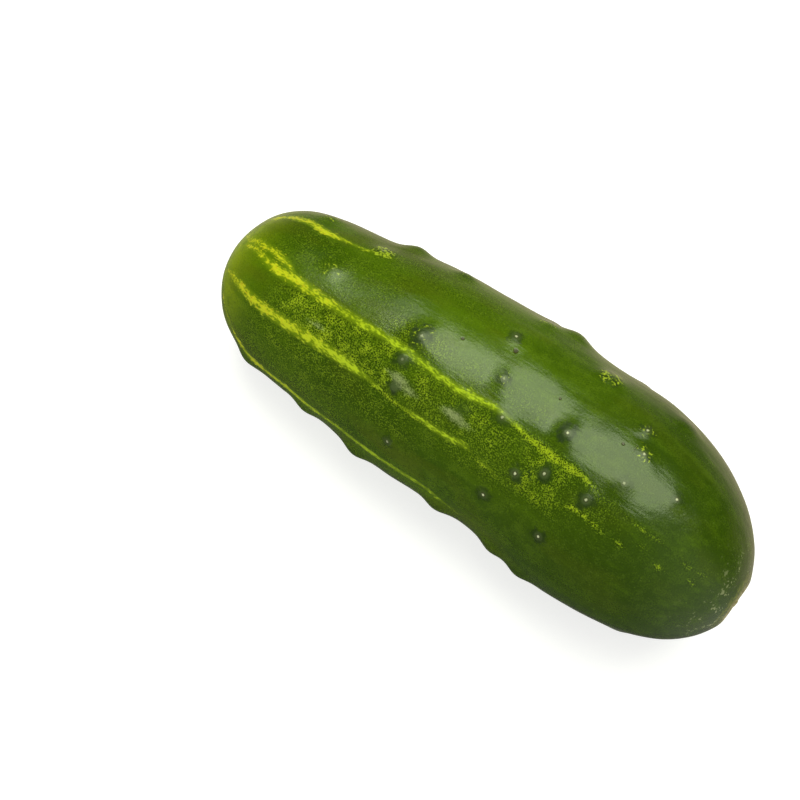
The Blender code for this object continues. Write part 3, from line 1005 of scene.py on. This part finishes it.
CAMERA_AZIMUTH = math.radians(37.2)
CAMERA_ELEVATION = math.radians(70)
CAMERA_DISTANCE = 0.444
CAMERA_AIM = Vector((-0.0149, -0.0093, 0.024))
CAMERA_LENS = 100
FILM_WIDTH = 36
towards_camera = Vector(
    (
        math.sin(CAMERA_AZIMUTH) * math.cos(CAMERA_ELEVATION),
        -math.cos(CAMERA_AZIMUTH) * math.cos(CAMERA_ELEVATION),
        math.sin(CAMERA_ELEVATION),
    )
)
camera_data = bpy.data.cameras.new("camera")
camera_data.lens = CAMERA_LENS
camera_data.sensor_width = FILM_WIDTH
camera_data.clip_start = 0.01
camera = bpy.data.objects.new("camera", camera_data)
bpy.context.scene.collection.objects.link(camera)
bpy.context.scene.camera = camera
point_at(camera, CAMERA_AIM + CAMERA_DISTANCE * towards_camera, CAMERA_AIM)
print("camera at, m:", [round(part, 3) for part in camera.location])

# %% [markdown]
# ### Lights
# Each softbox faces the fruit from a direction given by two angles, and its strength is given as
# brightness per area, so that it can be resized without changing how bright it looks in the wax.


# %% Lights
def softbox(name, tilt, turn, spin, distance, size, radiance, colour, mirrored):
    """A rectangular area light facing the fruit: tilt up from +Y, turn to +X, spin on its own axis."""
    tilt, turn = math.radians(tilt), math.radians(turn)
    towards = Vector(
        (math.sin(turn), math.cos(turn) * math.cos(tilt), math.cos(turn) * math.sin(tilt))
    )
    lamp = bpy.data.lights.new(name, "AREA")
    lamp.shape = "RECTANGLE"
    lamp.size, lamp.size_y = size
    lamp.energy = radiance * math.pi * size[0] * size[1]
    lamp.color = colour
    made = bpy.data.objects.new(name, lamp)
    bpy.context.scene.collection.objects.link(made)
    made.location = distance * towards
    along_fruit = Vector((1, 0, 0))
    across = towards.cross(along_fruit).normalized()
    frame_axes = Matrix((across.cross(towards), across, towards)).transposed()
    made.rotation_euler = (frame_axes @ Matrix.Rotation(math.radians(spin), 3, "Z")).to_euler()
    made.visible_glossy = mirrored
    return made


KEY_RADIANCE = 4.6
SPILL_RADIANCE = 2.6
FILL_RADIANCE = 1.2
WARM = (0.96, 1.0, 0.84)
WHITE = (1.0, 1.0, 1.0)
softbox("key", 69, 2, -22, 0.8, (0.74, 0.80), KEY_RADIANCE, WARM, True)
softbox("spill", 64, -25, -8, 0.8, (0.22, 0.50), SPILL_RADIANCE, WARM, True)
softbox("fill", 160, -10, 0, 1.0, (1.4, 1.4), FILL_RADIANCE, WHITE, False)

# %% [markdown]
# ### What the wax mirrors
# The room is dark overhead and pale near the floor on the far side and off the stem end. The world
# lights the fruit evenly, but a mirrored ray sees a darker room that brightens towards those sides.

# %% World
world = bpy.data.worlds.new("studio")
bpy.context.scene.world = world
world.use_nodes = True
world.cycles.sampling_method = "NONE"
tree = world.node_tree
tree.nodes.clear()
ROOM_LIGHT = 0.48
MIRRORED_DARK = 0.005
MIRRORED_FLOOR = 0.6
MIRRORED_NEAR = 0.06
MIRRORED_STEM = 0.6
WARM_ROOM = (1.0, 1.0, 0.95, 1.0)
BROWN = (1.0, 0.86, 0.58, 1.0)
towards = add(tree, "TexCoord", {}, "Generated")
sideways = add(tree, "SeparateXYZ", {0: towards}, "Y")
far = add(tree, "MapRange", {0: sideways, 1: -0.1, 2: 0.6}, **SMOOTH)
bright = add(tree, "MapRange", {0: far, 3: MIRRORED_NEAR, 4: MIRRORED_FLOOR})
low = add(tree, "SeparateXYZ", {0: towards}, "Z")
low = add(tree, "MapRange", {0: low, 1: 0.1, 2: -0.75}, **SMOOTH)
low = add(tree, "Math", {0: low, 1: bright, 2: MIRRORED_DARK}, operation="MULTIPLY_ADD")
stemward = add(tree, "SeparateXYZ", {0: towards}, "X")
stemward = add(tree, "MapRange", {0: stemward, 1: 0.05, 2: 1.0, 4: MIRRORED_STEM}, **SMOOTH)
near = add(tree, "Math", {0: 1.0, 1: far}, operation="SUBTRACT")
stemward = add(tree, "Math", {0: stemward, 1: near}, operation="MULTIPLY")
mirrored = add(tree, "Math", {0: low, 1: stemward}, operation="ADD")
is_mirrored = add(tree, "LightPath", {}, "Is Glossy Ray")
strength = add(tree, "Mix", {0: is_mirrored, 2: ROOM_LIGHT, 3: mirrored})
browner = add(tree, "Math", {0: far, 1: is_mirrored}, operation="MULTIPLY")
room_colour = add(tree, "Mix", {0: browner, 6: WARM_ROOM, 7: BROWN}, **BLEND)
shining = add(tree, "Background", {"Color": room_colour, "Strength": strength})
sky = tree.nodes.new("ShaderNodeOutputWorld")
tree.links.new(shining, sky.inputs["Surface"])
bpy.context.scene.view_settings.view_transform = "Standard"
print("world nodes:", len(tree.nodes))
